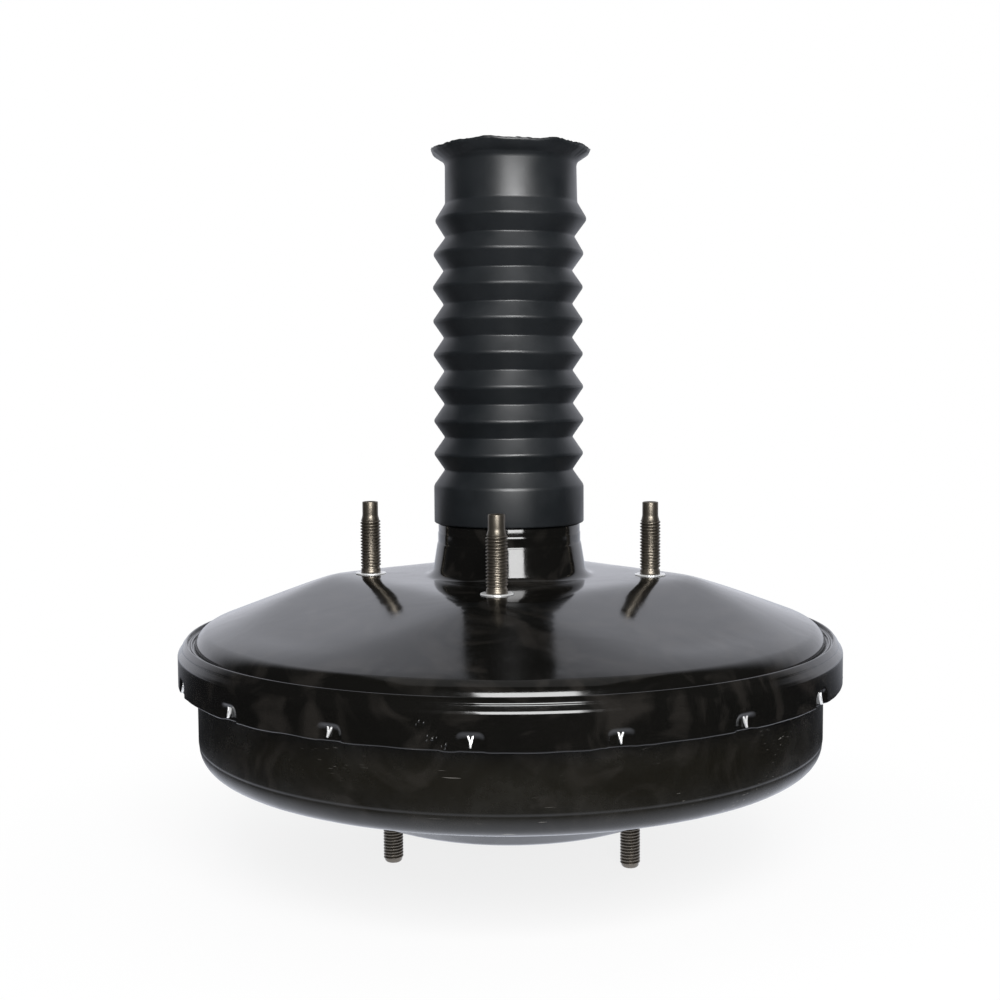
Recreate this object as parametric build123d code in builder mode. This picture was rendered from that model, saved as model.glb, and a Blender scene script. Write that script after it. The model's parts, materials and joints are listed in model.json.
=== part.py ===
"""Vacuum brake booster, single diaphragm. Millimetres.

The origin is the centre of the rear mounting face. +Z runs along the booster's axis towards
the pedal, and +X runs along the two front studs. The piston works forwards, along -Z.
"""

import os
from math import atan, cos, pi, radians, sin, tan

from build123d import *

os.makedirs("parts", exist_ok=True)

# --- Clearances ---------------------------------------------------------------------------
run_gap = 0.05          # a shaft in its bore
soft_gap = 0.3          # rubber or a curved face beside another body
bolt_gap = 0.15         # a stud in its hole

# --- Casing -------------------------------------------------------------------------------
sheet = 1.8             # steel of both shells
rim_rad = 131.0         # outside of the rear shell's skirt
skirt_height = 11.7     # straight part of the skirt
flank_drop = 7.4        # from the shoulder of the cone down to the top of the skirt
flank_width = 6.8       # how far the skirt stands outside the shoulder
cone_angle = 21.0       # slope of the rear shell beyond the studs, in degrees
facet_angle = 15.5      # slope of the flats between the studs
neck_rad = 28.6         # the tube that carries the boot
neck_foot_rad = 31.0
neck_height = 20.8      # height of the shoulder under the boot
nose_height = 9.0       # how far the neck's nose stands up inside the boot
neck_taper = 10.4       # below this height the neck widens to its foot
shoulder_round = 3.0
skirt_round = 2.5
nose_step = 1.0         # the nose is thinner than the neck by this much
wall_inset = 8.5        # the front shell's wall stands this far inside the skirt
front_depth = 70.0      # the front shell's annular face lies this far below the mounting face
boss_depth = 22.0       # the master cylinder's face lies this much further forward
boss_rad = 63.0
face_width = 28.5       # of the flat ring between the boss and the rounded edge
pilot_rad = 19.5        # recess for the master cylinder's spigot
pilot_depth = 10.2
front_round = 8.0
boss_round = 3.0
flange_gap = 1.8        # from the front shell's flange to the inside of the skirt
flange_lift = 2.9       # the flange's underside lies this far above the skirt's bottom edge

# --- Lanced tabs that lock the shells -------------------------------------------------------
tab_count = 17
tab_width = 5.8
tab_height = 4.8
tab_phase = -90.9       # direction of the first tab, in degrees
tab_thick = 1.4
tab_reach = 3.0         # the tab's tip stands this far inside the skirt
tab_drop = 3.9          # the tip hangs this far below the window's top

# --- Studs ----------------------------------------------------------------------------------
stud_rad = 4.0          # M8
rear_stud_offset = 56.35
rear_stud_length = 29.1
front_stud_offset = 48.5
front_stud_length = 27.5
dog_rad = 3.15
dog_length = 7.4
head_rad = 7.0
head_thick = 2.5
collar_rad = 6.0        # shoulder of the stud, flush with the outside of the shell
pad_margin = 15.65      # the mounting face reaches this far past the stud circle
flat_half = 54.0        # from the axis to the mounting face's flat sides
plate_thick = 3.0       # both reinforcing plates
plate_edge = 2.0        # how far the stud plate stays inside the mounting face

# --- Boot -----------------------------------------------------------------------------------
boot_wall = 1.7
boot_collar_height = 14.9
boot_cone_height = 6.1
peak_rad = 30.0
valley_rad = 25.5
pleat_pitch = 13.1
pleat_count = 8
top_collar_rad = 26.0
top_collar_height = 16.0
lip_rad = 31.4
lip_height = 5.0

# --- Piston ---------------------------------------------------------------------------------
piston_stroke = 33.0
tube_rad = 20.0         # the valve body's tube, which slides through the neck
tube_wall = 3.0
bore_floor = 8.0        # bottom of the tube's bore
seat_height = 1.5
seat_rad = 12.2
seat_width = 1.2
hub_rad = 30.0
hub_thick = 8.0
nose_rad = 14.8
disc_rad = 11.9         # the reaction disc and the output rod's head
disc_thick = 5.0
rod_head_thick = 4.0
disc_top = -19.0        # floor of the recess that holds the reaction disc
output_rod_rad = 5.5
output_rod_reach = 5.0  # the output rod stands this far out of the master cylinder's face
steel_plate = 1.2       # the diaphragm plate
plate_top = -11.6
plate_room = 2.65       # from the stud heads out to the edge of the plate's flat middle
plate_angle = 12.7      # slope of the plate beyond its flat middle, in degrees
fold_width = 10.2       # from the plate's rim to the front shell's wall
plate_lip = 6.0
rubber = 1.5            # the diaphragm
fold_depth = 7.2        # how far the diaphragm's fold hangs below its bead

# --- Control valve --------------------------------------------------------------------------
plunger_rad = 7.0
flange_step = 2.0       # the plunger's flange stands this far out of it
plunger_flange_thick = 3.5
plunger_sleeve_height = 10.0
valve_lift = 0.5        # the plunger holds the poppet this far off the vacuum seat
valve_travel = 1.4      # of the plunger in the valve body
key_top = 3.0
key_thick = 2.4
key_width = 14.0
key_neck_rad = 4.0      # the plunger's neck, which the key straddles
ball_rad = 4.0
input_rod_rad = 5.0     # M10
input_rod_top = 150.0
rod_neck_rad = 2.6
crimp = 1.5             # height of the sleeve's rim, which holds the ball in
vacuum_way_rad = 1.5
poppet_overhang = 1.1   # the poppet reaches this far past its seat
poppet_wall = 1.3
poppet_thick = 2.5
poppet_height = 14.0
poppet_bead = 2.0
retainer_thick = 1.2
rod_spring_length = 10.0
tilt_gap = 0.35         # above the rod's spring, for the rod's tilt
seat_rim = 0.8          # the spring seat reaches this far past its spring
spring_seat_thick = 1.5
rod_collar = 1.5        # height and width of the collar above the spring seat
filter_room = 3.45      # from the collar up to the air filter
filter_thick = 9.0
felt_thick = 3.0
filter_cap_thick = 2.0
rod_room = 2.0          # between the rod and the rings around it, so that it can tilt
nut_flats = 17.0
nut_thick = 8.0
nut_drop = 20.0         # from the end of the input rod down to the bottom of the nut
relief = 1.0            # groove above the nut, where the clevis stops

# --- Seals and guides -----------------------------------------------------------------------
seal_bottom = 4.6
seal_thick = 9.8
seal_groove = 4.0
guide_thick = 4.5
retainer_rad = 27.8
retainer_bore_rad = 21.0
front_seal_rad = 12.0
front_seal_thick = 4.0
rod_hole_rad = 9.0

# --- Springs --------------------------------------------------------------------------------
return_wire = 1.9
spring_room = 1.3       # from the hub to the return spring
return_turns = 6.0
rod_spring_wire = 0.7
rod_spring_turns = 5.0
poppet_spring_wire = 0.45
poppet_spring_rad = 10.6
poppet_spring_turns = 5.0
check_spring_wire = 0.35
check_spring_rad = 4.2
check_spring_turns = 4.0

# --- Check valve ----------------------------------------------------------------------------
grommet_hole_rad = 9.0
grommet_lip = 3.0
grommet_lip_thick = 2.6
check_tube_rad = 6.2
check_bore_rad = 3.4
chamber_rad = 9.5
chamber_bore_rad = 7.5
chamber_height = 9.0
check_disc_rad = 6.2
check_disc_thick = 1.5
check_lift = 2.0
nipple_rad = 4.5
nipple_length = 20.0
cap_thick = 2.0

# --- Places worked out from the sizes above -------------------------------------------------
pad_reach = rear_stud_offset + pad_margin
shoulder_rad = rim_rad - flank_width
shoulder_z = -(shoulder_rad - pad_reach) * tan(radians(cone_angle))
skirt_top = shoulder_z - flank_drop
skirt_bottom = skirt_top - skirt_height
skirt_inner = rim_rad - sheet
front_wall_rad = rim_rad - wall_inset
boss_foot_rad = front_wall_rad - front_round - face_width
valve_offset = (boss_foot_rad + front_wall_rad - front_round) / 2
window_top = skirt_bottom + tab_height
neck_nose_rad = neck_rad - nose_step
neck_inner = neck_rad - sheet
flange_rad = skirt_inner - flange_gap
flange_under = skirt_bottom + flange_lift
flange_top = flange_under + sheet
front_inner = front_wall_rad - sheet
boss_face = -front_depth - boss_depth
boss_lean = atan(boss_depth / (boss_foot_rad - boss_rad))
pilot_floor = boss_face + pilot_depth
boss_inside = boss_face + sheet
front_plate_top = boss_inside + plate_thick
tube_hole = tube_rad + run_gap
tube_bore_rad = tube_rad - tube_wall
plate_under = plate_top - steel_plate
plate_flat_rad = rear_stud_offset + head_rad + plate_room
plate_rim_rad = front_inner - fold_width
plate_rim_drop = (plate_rim_rad - plate_flat_rad) * tan(radians(plate_angle))
plate_shoulder = plate_top - plate_rim_drop
return_rad = hub_rad + spring_room + return_wire
hub_front = plate_under - hub_thick
recess_rad = disc_rad + 2 * run_gap
head_top = disc_top - disc_thick
head_bottom = head_top - rod_head_thick
nose_end = head_bottom - soft_gap
key_bottom = key_top - key_thick
plunger_flange_rad = plunger_rad + flange_step
poppet_rad = seat_rad + seat_width + poppet_overhang
rod_spring_rad = plunger_flange_rad + rod_spring_wire + soft_gap
spring_seat_rad = rod_spring_rad + rod_spring_wire + seat_rim
poppet_face = bore_floor + seat_height + valve_lift
poppet_top = poppet_face + poppet_height
ball_z = poppet_face + ball_rad
flange_low = poppet_face - plunger_flange_thick
sleeve_top = poppet_face + plunger_sleeve_height
seat_low = poppet_top + retainer_thick + rod_spring_length + tilt_gap
seat_high = seat_low + spring_seat_thick
filter_low = seat_high + rod_collar + filter_room
felt_low = filter_low + filter_thick
filter_cap_low = felt_low + felt_thick
tube_height = filter_cap_low + filter_cap_thick
ring_bore = input_rod_rad + rod_room


def ring(inner, outer, bottom, top):
    """A plain ring about the booster's axis."""
    with BuildPart() as washer:
        with BuildSketch(Plane.XY.offset(bottom)):
            Circle(outer)
            Circle(inner, mode=Mode.SUBTRACT)
        extrude(amount=top - bottom)
    return washer.part


def turned(points, radii=0):
    """A solid turned about the Z axis from a closed outline of (radius, height) points."""
    with BuildPart() as blank:
        with BuildSketch(Plane.XZ):
            with BuildLine():
                FilletPolyline(*points, radius=radii, close=True)
            make_face()
        revolve(axis=Axis.Z)
    return blank.part


def coil(mean_rad, wire_rad, bottom, top, turns):
    """A compression spring, its wire's centreline ending one wire radius inside its length."""
    length = top - bottom - 2 * wire_rad
    start = (mean_rad, 0, bottom + wire_rad)
    rise = atan(length / turns / (2 * pi * mean_rad))
    with BuildPart() as spring:
        with BuildLine():
            path = Helix(length / turns, length, mean_rad, center=(0, 0, bottom + wire_rad))
        with BuildSketch(Plane(origin=start, x_dir=(1, 0, 0), z_dir=(0, cos(rise), sin(rise)))):
            Circle(wire_rad)
        sweep(path=path, is_frenet=True)
    return spring.part


def save(solid, name):
    """Write one sub-part to its own file."""
    solid.label = name
    export_step(solid, f"parts/{name}.step")


# --- Rear shell: neck, mounting face, cone and skirt ------------------------------------------
def rear_shell_blank(inset):
    """The rear shell's outside as one filled solid, moved inwards by inset."""
    dome = [
        (0, -inset),
        (pad_reach, -inset),
        (shoulder_rad, shoulder_z - inset / cos(radians(cone_angle))),
        (rim_rad - inset, skirt_top - inset / 2),
        (rim_rad - inset, skirt_bottom - inset),
        (0, skirt_bottom - inset),
    ]
    neck = [
        (0, neck_height + nose_height + inset),
        (neck_nose_rad - inset, neck_height + nose_height + inset),
        (neck_nose_rad - inset, neck_height - inset),
        (neck_rad - inset, neck_height - inset),
        (neck_rad - inset, neck_taper),
        (neck_foot_rad - inset, -inset),
        (0, -inset),
    ]
    lean = radians(facet_angle)
    with BuildPart() as blank:
        add(turned(dome, [0, 0, shoulder_round - inset, skirt_round - inset, 0, 0]))
        for heading in (radians(45 + 90 * turn) for turn in range(4)):
            across = Vector(cos(heading), sin(heading), 0)
            facet = Plane(
                origin=across * flat_half + Vector(0, 0, -inset / cos(lean)),
                z_dir=across * sin(lean) + Vector(0, 0, cos(lean)),
            )
            split(bisect_by=facet, keep=Keep.BOTTOM)
        add(turned(neck))
    return blank.part


# One lanced tab: it leaves the window's top and hooks inwards under the front shell's flange.
with BuildPart() as tab:
    with BuildSketch(Plane.XZ):
        with BuildLine():
            Polyline(
                (skirt_inner, window_top + tab_thick),
                (rim_rad, window_top + tab_thick),
                (rim_rad, window_top),
                (skirt_inner - tab_reach + tab_thick, window_top - tab_drop),
                (skirt_inner - tab_reach, window_top - tab_drop),
                (skirt_inner, window_top),
                close=True,
            )
        make_face()
    extrude(amount=tab_width / 2, both=True)

with BuildPart() as rear_shell:
    add(rear_shell_blank(0))
    add(rear_shell_blank(sheet), mode=Mode.SUBTRACT)
    with PolarLocations(rear_stud_offset, 4):
        Cylinder(collar_rad + bolt_gap, 4 * sheet, mode=Mode.SUBTRACT)
    with Locations((0, 0, (skirt_bottom + window_top) / 2)):
        with PolarLocations(rim_rad - sheet / 2, tab_count, start_angle=tab_phase):
            Box(2 * sheet, tab_width, tab_height, mode=Mode.SUBTRACT)
    with PolarLocations(0, tab_count, start_angle=tab_phase):
        add(tab.part)
save(rear_shell.part, "rear_shell")

# --- Reinforcing plate and studs behind the mounting face ---------------------------------------
with BuildPart() as stud_plate:
    with BuildSketch(Plane.XY.offset(-sheet - plate_thick)):
        side = 2 * (flat_half - plate_edge)
        RectangleRounded(side, side, pad_margin, rotation=45)
        Circle(neck_foot_rad, mode=Mode.SUBTRACT)
        with PolarLocations(rear_stud_offset, 4):
            Circle(collar_rad + bolt_gap, mode=Mode.SUBTRACT)
    extrude(amount=plate_thick)
save(stud_plate.part, "stud_plate")


def stud(length):
    """A stud whose head sits inside the casing and whose shoulder ends at its face, Z = 0."""
    under = -sheet - plate_thick
    return turned([
        (0, under - head_thick),
        (head_rad, under - head_thick),
        (head_rad, under),
        (collar_rad, under),
        (collar_rad, 0),
        (stud_rad, 0),
        (stud_rad, length - dog_length),
        (dog_rad, length - dog_length),
        (dog_rad, length),
        (0, length),
    ])


with BuildPart() as rear_studs:
    with PolarLocations(rear_stud_offset, 4):
        add(stud(rear_stud_length))
save(rear_studs.part, "rear_studs")

# --- Front shell: flange, wall, annular face and boss -------------------------------------------
lean_step = sheet * tan(boss_lean / 2)
with BuildPart() as front_shell:
    add(turned(
        [
            (flange_rad, flange_top),
            (flange_rad, flange_under),
            (front_wall_rad, flange_under),
            (front_wall_rad, -front_depth),
            (boss_foot_rad, -front_depth),
            (boss_rad, boss_face),
            (pilot_rad, boss_face),
            (pilot_rad, pilot_floor),
            (rod_hole_rad, pilot_floor),
            (rod_hole_rad, pilot_floor + sheet),
            (pilot_rad + sheet, pilot_floor + sheet),
            (pilot_rad + sheet, boss_inside),
            (boss_rad - lean_step, boss_inside),
            (boss_foot_rad - lean_step, -front_depth + sheet),
            (front_inner, -front_depth + sheet),
            (front_inner, flange_top),
        ],
        [0, 0, 0, front_round, boss_round, boss_round, 0, 0, 0, 0, 0, 0,
         boss_round, boss_round, front_round - sheet, 0],
    ))
    with Locations((0, 0, boss_face)):
        with PolarLocations(front_stud_offset, 2):
            Cylinder(collar_rad + bolt_gap, 4 * sheet, mode=Mode.SUBTRACT)
    with Locations((0, valve_offset, -front_depth)):
        Cylinder(grommet_hole_rad, 4 * sheet, mode=Mode.SUBTRACT)
save(front_shell.part, "front_shell")

with BuildPart() as front_reinforcement:
    with BuildSketch(Plane.XY.offset(boss_inside)):
        Circle(front_stud_offset + head_rad)
        Circle(pilot_rad + 2 * sheet, mode=Mode.SUBTRACT)
        with PolarLocations(front_stud_offset, 2):
            Circle(collar_rad + bolt_gap, mode=Mode.SUBTRACT)
    extrude(amount=plate_thick)
save(front_reinforcement.part, "front_reinforcement")

with BuildPart() as front_studs:
    with Locations(Plane(origin=(0, 0, boss_face), x_dir=(1, 0, 0), z_dir=(0, 0, -1))):
        with PolarLocations(front_stud_offset, 2):
            add(stud(front_stud_length))
save(front_studs.part, "front_studs")

# --- Boot: a pleated rubber sleeve from the neck up to the bulkhead ------------------------------
collar_inner = neck_nose_rad + soft_gap
collar_outer = collar_inner + boot_wall + soft_gap
boot_bottom = neck_height + soft_gap
cone_bottom = boot_bottom + boot_collar_height
pleats = [(collar_outer, boot_bottom), (collar_outer, cone_bottom)]
for pleat in range(pleat_count):
    valley_z = cone_bottom + boot_cone_height + pleat_pitch * pleat
    pleats.append((valley_rad, valley_z))
    pleats.append((peak_rad, valley_z + pleat_pitch / 2))
top_collar_z = pleats[-1][1] + pleat_pitch / 2
flare_z = top_collar_z + top_collar_height
boot_top = flare_z + lip_height
pleats += [(top_collar_rad, top_collar_z), (top_collar_rad, flare_z), (lip_rad, boot_top)]
lining = [(radius - boot_wall, height) for radius, height in pleats]
lining[0] = (collar_inner, boot_bottom)
lining[1] = (collar_inner, cone_bottom)
boot = turned(pleats + lining[::-1])
save(boot, "boot")

# --- Guide, lip seal and retainer in the neck -----------------------------------------------------
seal_top = seal_bottom + seal_thick
guide_bush = ring(tube_hole, neck_inner - run_gap, seal_top, seal_top + guide_thick)
save(guide_bush, "guide_bush")

seal_outer = neck_inner - run_gap
seal_middle = (tube_hole + seal_outer) / 2
valve_body_seal = turned([
    (tube_hole, seal_bottom),
    (tube_hole, seal_top),
    (seal_outer, seal_top),
    (seal_outer, seal_bottom),
    (seal_middle + 1, seal_bottom),
    (seal_middle, seal_bottom + seal_groove),
    (seal_middle - 1, seal_bottom),
])
save(valve_body_seal, "valve_body_seal")

seal_retainer = ring(retainer_bore_rad, retainer_rad, key_top, seal_bottom)
save(seal_retainer, "seal_retainer")

# --- Valve body: tube, hub and nose in one moulding -------------------------------------------------
flange_recess = plunger_flange_rad + soft_gap
recess_low = flange_low - valve_travel - soft_gap
plunger_bore = plunger_rad + run_gap
with BuildPart() as valve_body:
    add(turned([
        (recess_rad, nose_end),
        (nose_rad, nose_end),
        (nose_rad, hub_front),
        (hub_rad, hub_front),
        (hub_rad, plate_under),
        (tube_rad, plate_under),
        (tube_rad, tube_height),
        (tube_bore_rad, tube_height),
        (tube_bore_rad, bore_floor),
        (seat_rad + seat_width, bore_floor),
        (seat_rad + seat_width, bore_floor + seat_height),
        (seat_rad, bore_floor + seat_height),
        (seat_rad, bore_floor),
        (flange_recess, bore_floor),
        (flange_recess, recess_low),
        (plunger_bore, recess_low),
        (plunger_bore, disc_top),
        (recess_rad, disc_top),
    ]))
    with Locations((0, 0, (key_top + key_bottom) / 2)):
        Box(4 * tube_rad, key_width + soft_gap, key_thick + soft_gap, mode=Mode.SUBTRACT)
    vacuum_way = (seat_rad + seat_width + tube_bore_rad) / 2
    with Locations((0, 0, (bore_floor + hub_front) / 2)):
        with PolarLocations(vacuum_way, 2, start_angle=90):
            Cylinder(vacuum_way_rad, bore_floor - hub_front, mode=Mode.SUBTRACT)
save(valve_body.part, "valve_body")

# --- Diaphragm plate and diaphragm ------------------------------------------------------------------
lip_bottom = plate_shoulder - plate_lip
diaphragm_plate = turned([
    (tube_rad + run_gap, plate_top),
    (plate_flat_rad, plate_top),
    (plate_rim_rad, plate_shoulder),
    (plate_rim_rad, lip_bottom),
    (plate_rim_rad - steel_plate, lip_bottom),
    (plate_rim_rad - steel_plate, plate_shoulder - steel_plate),
    (plate_flat_rad, plate_under),
    (tube_rad + run_gap, plate_under),
])
save(diaphragm_plate, "diaphragm_plate")

base = plate_top + soft_gap
hang_rad = plate_rim_rad + soft_gap
rise_rad = front_inner - soft_gap
fold_z = flange_top - fold_depth
bead_top = skirt_top - sheet
fold_round = 0.45 * (rise_rad - hang_rad)
diaphragm = turned(
    [
        (tube_rad + soft_gap, base),
        (plate_flat_rad, base),
        (hang_rad, base - plate_rim_drop),
        (hang_rad, fold_z),
        (rise_rad, fold_z),
        (rise_rad, flange_top),
        (flange_rad, flange_top),
        (flange_rad, bead_top),
        (rise_rad - rubber, bead_top),
        (rise_rad - rubber, fold_z + rubber),
        (hang_rad + rubber, fold_z + rubber),
        (hang_rad + rubber, base - plate_rim_drop + rubber),
        (plate_flat_rad, base + rubber),
        (tube_rad + soft_gap, base + rubber),
    ],
    [0, 0, 0, fold_round, fold_round, 0, 0, 0, 0, fold_round - rubber, fold_round - rubber,
     0, 0, 0],
)
save(diaphragm, "diaphragm")

# --- Return spring, stop key, reaction disc and output rod -------------------------------------------
return_spring = coil(return_rad, return_wire, front_plate_top, plate_under, return_turns)
save(return_spring, "return_spring")

with BuildPart() as stop_key:
    with BuildSketch(Plane.XY.offset(key_bottom)):
        key_length = 2 * (retainer_bore_rad + retainer_rad) / 2
        Rectangle(key_length, key_width)
        Circle(key_neck_rad + soft_gap, mode=Mode.SUBTRACT)
        with Locations((-key_length / 2, 0)):
            Rectangle(key_length, 2 * (key_neck_rad + soft_gap), mode=Mode.SUBTRACT)
    extrude(amount=key_thick)
save(stop_key.part, "stop_key")

with BuildPart() as reaction_disc:
    with BuildSketch(Plane.XY.offset(head_top)):
        Circle(disc_rad)
    extrude(amount=disc_thick)
save(reaction_disc.part, "reaction_disc")

rod_tip = boss_face - output_rod_reach
output_rod = turned([
    (0, head_top),
    (disc_rad, head_top),
    (disc_rad, head_bottom),
    (output_rod_rad, head_bottom),
    (output_rod_rad, rod_tip + output_rod_rad / 3),
    (output_rod_rad / 1.5, rod_tip),
    (0, rod_tip),
])
save(output_rod, "output_rod")

clip_inner = nose_rad + run_gap
clip_height = 4 * retainer_thick
rod_retainer = turned([
    (output_rod_rad + rod_room, nose_end - retainer_thick),
    (output_rod_rad + rod_room, nose_end),
    (clip_inner, nose_end),
    (clip_inner, nose_end + clip_height),
    (clip_inner + retainer_thick, nose_end + clip_height),
    (clip_inner + retainer_thick, nose_end - retainer_thick),
])
save(rod_retainer, "rod_retainer")

# --- Control valve: plunger, poppet and their springs --------------------------------------------------
sleeve_rad = plunger_rad - 0.2
with BuildPart() as plunger:
    add(turned([
        (0, disc_top + valve_travel + run_gap),
        (plunger_rad, disc_top + valve_travel + run_gap),
        (plunger_rad, key_bottom - run_gap),
        (key_neck_rad, key_bottom - run_gap),
        (key_neck_rad, key_top + valve_travel + run_gap),
        (plunger_rad, key_top + valve_travel + run_gap),
        (plunger_rad, flange_low),
        (plunger_flange_rad, flange_low),
        (plunger_flange_rad, poppet_face),
        (sleeve_rad, poppet_face),
        (sleeve_rad, sleeve_top),
        (0, sleeve_top),
    ]))
    lip_low = sleeve_top - crimp
    with Locations((0, 0, ball_z)):
        Sphere(ball_rad + run_gap, mode=Mode.SUBTRACT)
    with Locations((0, 0, (ball_z + lip_low) / 2)):
        Cylinder(ball_rad + run_gap, lip_low - ball_z, mode=Mode.SUBTRACT)
    with Locations((0, 0, sleeve_top)):
        Cylinder((ball_rad + rod_neck_rad) / 2, 2.5 * crimp, mode=Mode.SUBTRACT)
save(plunger.part, "plunger")

poppet_bore = plunger_rad + 2 * soft_gap
poppet_skin = poppet_rad - poppet_wall
poppet = turned([
    (poppet_bore, poppet_face),
    (poppet_rad, poppet_face),
    (poppet_rad, poppet_top - poppet_bead),
    (tube_bore_rad - run_gap, poppet_top - poppet_bead),
    (tube_bore_rad - run_gap, poppet_top),
    (poppet_skin, poppet_top),
    (poppet_skin, poppet_face + poppet_thick),
    (poppet_bore, poppet_face + poppet_thick),
])
save(poppet, "poppet")

sleeve_outer = poppet_skin - run_gap
sleeve_inner = sleeve_outer - retainer_thick
retainer_top = poppet_top + retainer_thick
poppet_retainer = turned([
    (plunger_flange_rad, poppet_top),
    (plunger_flange_rad, retainer_top),
    (tube_bore_rad - run_gap, retainer_top),
    (tube_bore_rad - run_gap, poppet_top),
    (sleeve_outer, poppet_top),
    (sleeve_outer, poppet_top - 2 * poppet_bead),
    (sleeve_inner, poppet_top - 2 * poppet_bead),
    (sleeve_inner, poppet_top),
])
save(poppet_retainer, "poppet_retainer")

poppet_spring = coil(
    poppet_spring_rad, poppet_spring_wire, poppet_face + poppet_thick, poppet_top,
    poppet_spring_turns)
save(poppet_spring, "poppet_spring")

rod_spring = coil(
    rod_spring_rad, rod_spring_wire, retainer_top, retainer_top + rod_spring_length,
    rod_spring_turns)
save(rod_spring, "rod_spring")

# --- Input rod, its spring seat and lock nut ------------------------------------------------------------
spring_seat = ring(input_rod_rad + run_gap, spring_seat_rad, seat_low, seat_high)
save(spring_seat, "spring_seat")

nut_top = input_rod_top - nut_drop + nut_thick
with BuildPart() as input_rod:
    add(turned([
        (0, ball_z),
        (rod_neck_rad, ball_z),
        (rod_neck_rad, sleeve_top + rod_room),
        (input_rod_rad, sleeve_top + 2 * rod_room),
        (input_rod_rad, seat_high),
        (input_rod_rad + rod_collar, seat_high),
        (input_rod_rad + rod_collar, seat_high + rod_collar),
        (input_rod_rad, seat_high + rod_collar),
        (input_rod_rad, nut_top),
        (input_rod_rad - relief / 2, nut_top),
        (input_rod_rad - relief / 2, nut_top + relief),
        (input_rod_rad, nut_top + relief),
        (input_rod_rad, input_rod_top - relief),
        (input_rod_rad - relief, input_rod_top),
        (0, input_rod_top),
    ]))
    with Locations((0, 0, ball_z)):
        Sphere(ball_rad)
save(input_rod.part, "input_rod")

with BuildPart() as lock_nut:
    with BuildSketch(Plane.XY.offset(input_rod_top - nut_drop)):
        RegularPolygon(nut_flats / 2, 6, major_radius=False)
        Circle(input_rod_rad + run_gap, mode=Mode.SUBTRACT)
    extrude(amount=nut_thick)
save(lock_nut.part, "lock_nut")

# --- Filters in the tube's mouth ---------------------------------------------------------------------------
filter_rad = tube_bore_rad - run_gap
save(ring(ring_bore, filter_rad, filter_low, felt_low), "air_filter")
save(ring(ring_bore, filter_rad, felt_low, filter_cap_low), "filter_felt")
save(ring(ring_bore, filter_rad, filter_cap_low, tube_height), "filter_retainer")

# --- Front seal around the output rod ------------------------------------------------------------------------
seal_seat = pilot_floor + sheet
front_seal_top = seal_seat + front_seal_thick
front_seal = ring(output_rod_rad + run_gap, front_seal_rad, seal_seat, front_seal_top)
save(front_seal, "front_seal")

cup_inner = front_seal_rad + run_gap
front_seal_retainer = turned([
    (output_rod_rad + rod_room, front_seal_top),
    (output_rod_rad + rod_room, front_seal_top + retainer_thick),
    (cup_inner + retainer_thick, front_seal_top + retainer_thick),
    (cup_inner + retainer_thick, seal_seat),
    (cup_inner, seal_seat),
    (cup_inner, front_seal_top),
])
save(front_seal_retainer, "front_seal_retainer")

# --- Check valve in the front shell's annular face -------------------------------------------------------------
face = -front_depth
outer_lip = face - grommet_lip_thick
inner_lip = face + sheet + grommet_lip_thick
valve_axis = Location((0, valve_offset, 0))
tube_clear = check_tube_rad + run_gap
grommet = turned([
    (tube_clear, outer_lip),
    (grommet_hole_rad + grommet_lip, outer_lip),
    (grommet_hole_rad + grommet_lip, face),
    (grommet_hole_rad - run_gap, face),
    (grommet_hole_rad - run_gap, face + sheet),
    (grommet_hole_rad + grommet_lip, face + sheet),
    (grommet_hole_rad + grommet_lip, inner_lip),
    (tube_clear, inner_lip),
]).moved(valve_axis)
save(grommet, "check_valve_grommet")

chamber_floor = outer_lip - cap_thick
chamber_end = chamber_floor - chamber_height
check_seat = chamber_floor
check_valve_body = turned([
    (check_bore_rad, inner_lip + cap_thick),
    (check_tube_rad, inner_lip + cap_thick),
    (check_tube_rad, outer_lip),
    (chamber_rad, outer_lip),
    (chamber_rad, chamber_end),
    (chamber_bore_rad, chamber_end),
    (chamber_bore_rad, chamber_floor),
    (check_bore_rad, chamber_floor),
]).moved(valve_axis)
save(check_valve_body, "check_valve_body")

disc_low = check_seat - check_disc_thick
with BuildPart() as check_disc:
    with BuildSketch(Plane.XY.offset(disc_low)):
        with Locations((0, valve_offset)):
            Circle(check_disc_rad)
    extrude(amount=check_disc_thick)
save(check_disc.part, "check_valve_disc")

cap_face = chamber_end - cap_thick
check_valve_cap = turned([
    (check_bore_rad, chamber_end),
    (chamber_rad, chamber_end),
    (chamber_rad, cap_face),
    (nipple_rad, cap_face),
    (nipple_rad, cap_face - nipple_length),
    (check_bore_rad, cap_face - nipple_length),
]).moved(valve_axis)
save(check_valve_cap, "check_valve_cap")

check_spring = coil(
    check_spring_rad, check_spring_wire, chamber_end, disc_low, check_spring_turns
).moved(valve_axis)
save(check_spring, "check_valve_spring")
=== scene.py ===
# %% [markdown]
# # Vacuum brake booster
# The construction of the booster is fixed: every piece is already at its real size and place.
# This lesson gives the pieces their looks. It loads the fixed model and works in metres.

# %% Load the fixed model
import json
import math

import bmesh
import bpy
from mathutils import Matrix, Vector, noise


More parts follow.
